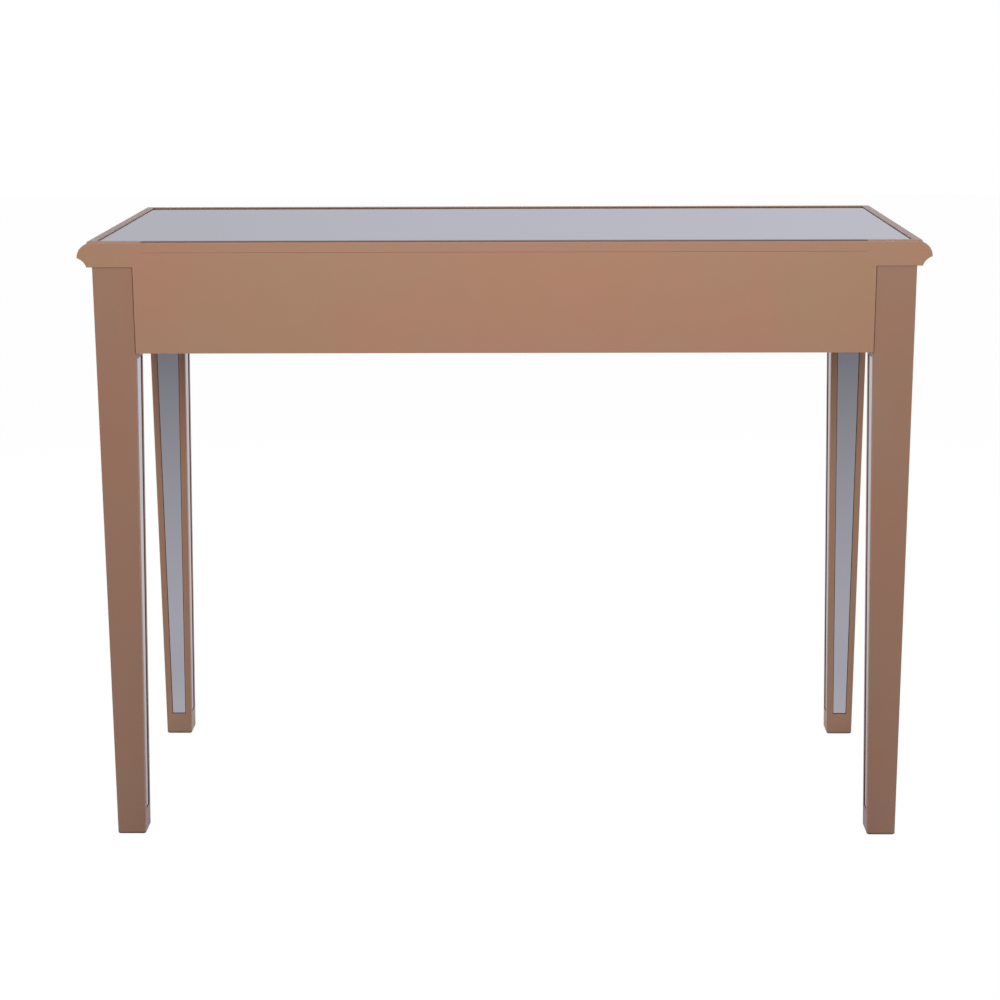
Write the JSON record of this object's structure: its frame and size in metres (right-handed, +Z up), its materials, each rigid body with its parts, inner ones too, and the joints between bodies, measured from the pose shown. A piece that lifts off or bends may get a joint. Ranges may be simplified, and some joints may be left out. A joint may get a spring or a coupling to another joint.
{
  "type": "vanity table",
  "caption": "Console vanity table with a mirror top in a moulded frame, tapered legs inlaid with mirror strips, and mirrored drawer fronts.",
  "frame": {"origin": "on the floor, at the centre of the table's plan", "axes": "+Z up; -Y is the front with the drawers, +Y is the plain back; +X is to the right as seen from the front"},
  "size_m": [1.067, 0.457, 0.787],
  "materials": {
    "metallic_paint": "satin champagne paint on wood",
    "mirror_glass": "plain mirror glass",
    "bare_wood": "planed softwood",
    "drawer_wood": "lacquered softwood",
    "drawer_panel": "thin plywood",
    "zinc_steel": "zinc plated",
    "polished_metal": "polished"
  },
  "bodies": {
    "frame": {"back_apron": "metallic_paint", "centre_divider": "metallic_paint", "corner_block_left": "bare_wood", "corner_block_right": "bare_wood", "dowels": "bare_wood", "front_bottom_rail": "metallic_paint", "front_top_rail": "metallic_paint", "hanger_bolts": "zinc_steel", "hanger_nuts": "zinc_steel", "kicker_centre": "bare_wood", "kicker_left": "bare_wood", "kicker_right": "bare_wood", "leg_back_left": "metallic_paint", "leg_back_left_inner_end_strip": "mirror_glass", "leg_back_left_inner_side_strip": "mirror_glass", "leg_back_left_side_strip": "mirror_glass", "leg_back_right": "metallic_paint", "leg_back_right_inner_end_strip": "mirror_glass", "leg_back_right_inner_side_strip": "mirror_glass", "leg_back_right_side_strip": "mirror_glass", "leg_front_left": "metallic_paint", "leg_front_left_end_strip": "mirror_glass", "leg_front_left_inner_end_strip": "mirror_glass", "leg_front_left_inner_side_strip": "mirror_glass", "leg_front_left_side_strip": "mirror_glass", "leg_front_right": "metallic_paint", "leg_front_right_end_strip": "mirror_glass", "leg_front_right_inner_end_strip": "mirror_glass", "leg_front_right_inner_side_strip": "mirror_glass", "leg_front_right_side_strip": "mirror_glass", "moulding_front": "metallic_paint", "moulding_left": "metallic_paint", "moulding_right": "metallic_paint", "runner_centre": "bare_wood", "runner_left": "bare_wood", "runner_right": "bare_wood", "side_apron_left": "metallic_paint", "side_apron_right": "metallic_paint", "side_mirror_left": "mirror_glass", "side_mirror_right": "mirror_glass", "top_board": "metallic_paint", "top_mirror": "mirror_glass"},
    "drawer_left": {"drawer_left_back": "drawer_wood", "drawer_left_bottom": "drawer_panel", "drawer_left_far_side": "drawer_wood", "drawer_left_front": "metallic_paint", "drawer_left_knob": "polished_metal", "drawer_left_knob_screw": "zinc_steel", "drawer_left_mirror": "mirror_glass", "drawer_left_near_side": "drawer_wood", "drawer_left_stop": "drawer_wood"},
    "drawer_right": {"drawer_right_back": "drawer_wood", "drawer_right_bottom": "drawer_panel", "drawer_right_far_side": "drawer_wood", "drawer_right_front": "metallic_paint", "drawer_right_knob": "polished_metal", "drawer_right_knob_screw": "zinc_steel", "drawer_right_mirror": "mirror_glass", "drawer_right_near_side": "drawer_wood", "drawer_right_stop": "drawer_wood"}
  },
  "joints": [
    {"name": "drawer_left_slide", "type": "slide", "parent": "frame", "child": "drawer_left", "axis": [0, -1, 0], "range_m": [0, 0.275]},
    {"name": "drawer_right_slide", "type": "slide", "parent": "frame", "child": "drawer_right", "axis": [0, -1, 0], "range_m": [0, 0.275]}
  ]
}
